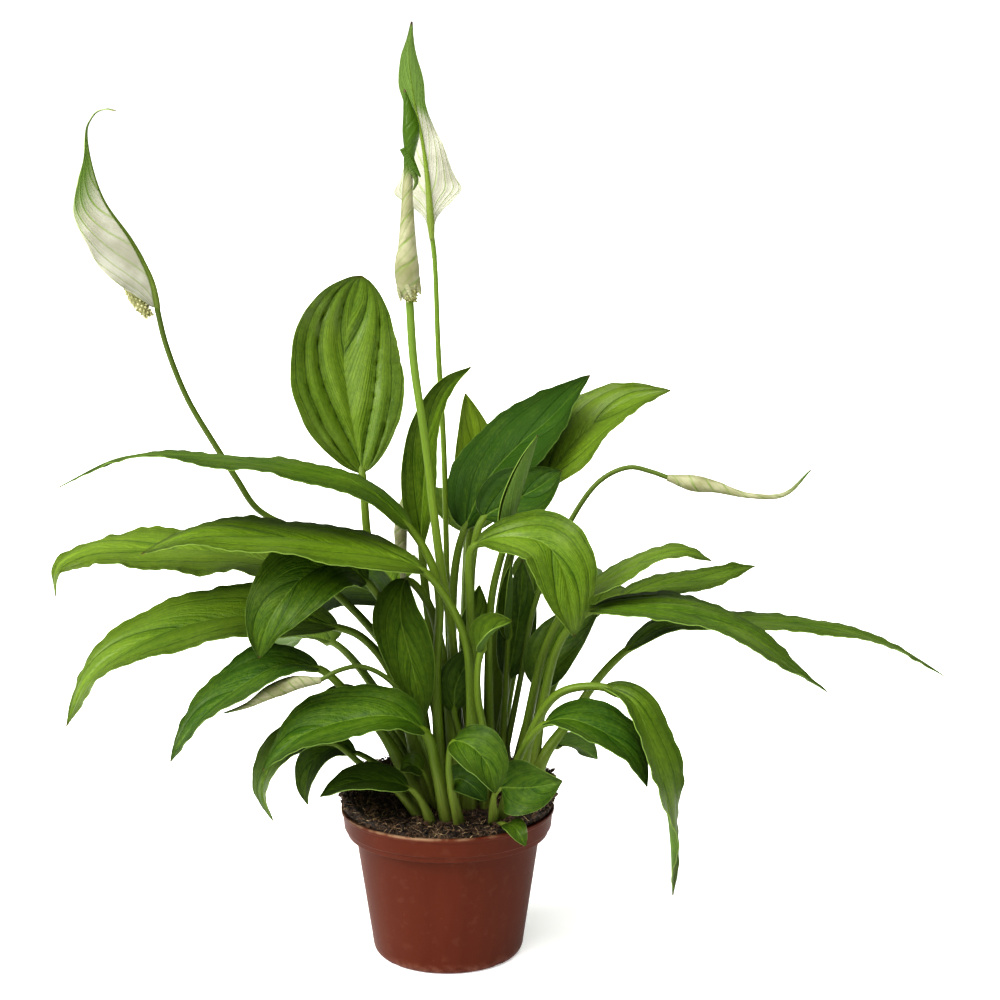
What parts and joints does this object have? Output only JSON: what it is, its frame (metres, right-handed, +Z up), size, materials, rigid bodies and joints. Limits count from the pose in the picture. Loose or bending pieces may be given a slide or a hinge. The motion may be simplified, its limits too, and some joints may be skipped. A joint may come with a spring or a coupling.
{
  "type": "potted peace lily",
  "caption": "Potted peace lily: arching pointed green leaves and pale hooded flowers on thin stalks, growing from dark soil in a small tapered plastic nursery pot.",
  "frame": {"origin": "on the pot's axis, at the surface that the pot stands on", "axes": "+Z up along the pot's axis; the plant's front is towards -Y and its longest leaves reach along +X and -X"},
  "size_m": [0.5054, 0.2735, 0.5201],
  "materials": {
    "pot_plastic": "satin terracotta-brown moulded plastic",
    "peat": "loose, moist, matt peat with tan fibres",
    "leaf": "glossy green leaf with sunken side veins",
    "stalk": "smooth satin green stalk",
    "spathe": "thin cream-white spathe with green veins and tip",
    "bud": "rolled cream spathe with a green tip",
    "spadix": "matt knobbly cream-yellow spadix"
  },
  "bodies": {
    "root": {"bud_centre": "bud", "bud_inner": "bud", "bud_low": "bud", "bud_right": "bud", "leaf_arching_right": "leaf", "leaf_back_centre": "leaf", "leaf_back_left": "leaf", "leaf_back_left_low": "leaf", "leaf_back_right": "leaf", "leaf_back_right_low": "leaf", "leaf_big_low_left": "leaf", "leaf_bright_front": "leaf", "leaf_broad_upright": "leaf", "leaf_crown_back": "leaf", "leaf_crown_centre": "leaf", "leaf_crown_right": "leaf", "leaf_dark_inner_right": "leaf", "leaf_dark_upper_right": "leaf", "leaf_drooping_left": "leaf", "leaf_drooping_right": "leaf", "leaf_flat_right": "leaf", "leaf_front_left": "leaf", "leaf_half_rolled": "leaf", "leaf_hanging_centre": "leaf", "leaf_long_left": "leaf", "leaf_long_right": "leaf", "leaf_low_left": "leaf", "leaf_low_right": "leaf", "leaf_over_rim": "leaf", "leaf_rear_right": "leaf", "leaf_rear_upright": "leaf", "leaf_rim_front": "leaf", "leaf_shaded_left": "leaf", "leaf_small_front": "leaf", "leaf_small_hanging": "leaf", "leaf_small_hooked": "leaf", "leaf_small_tipped": "leaf", "leaf_soil_centre": "leaf", "leaf_soil_left": "leaf", "leaf_tall_spear": "leaf", "leaf_tiny_left": "leaf", "leaf_twisted_right": "leaf", "leaf_upper_right": "leaf", "leaf_upturned_right": "leaf", "leaf_wavy_left": "leaf", "leaf_young_folded": "leaf", "leaf_young_inner": "leaf", "leaf_young_spear": "leaf", "pot": "pot_plastic", "soil": "peat", "spadix_left": "spadix", "spadix_rear": "spadix", "spathe_left": "spathe", "spathe_rear": "spathe", "stalk_centre_bud": "stalk", "stalk_inner_bud": "stalk", "stalk_left_flower": "stalk", "stalk_low_bud": "stalk", "stalk_rear_flower": "stalk", "stalk_right_bud": "stalk"}
  },
  "joints": []
}
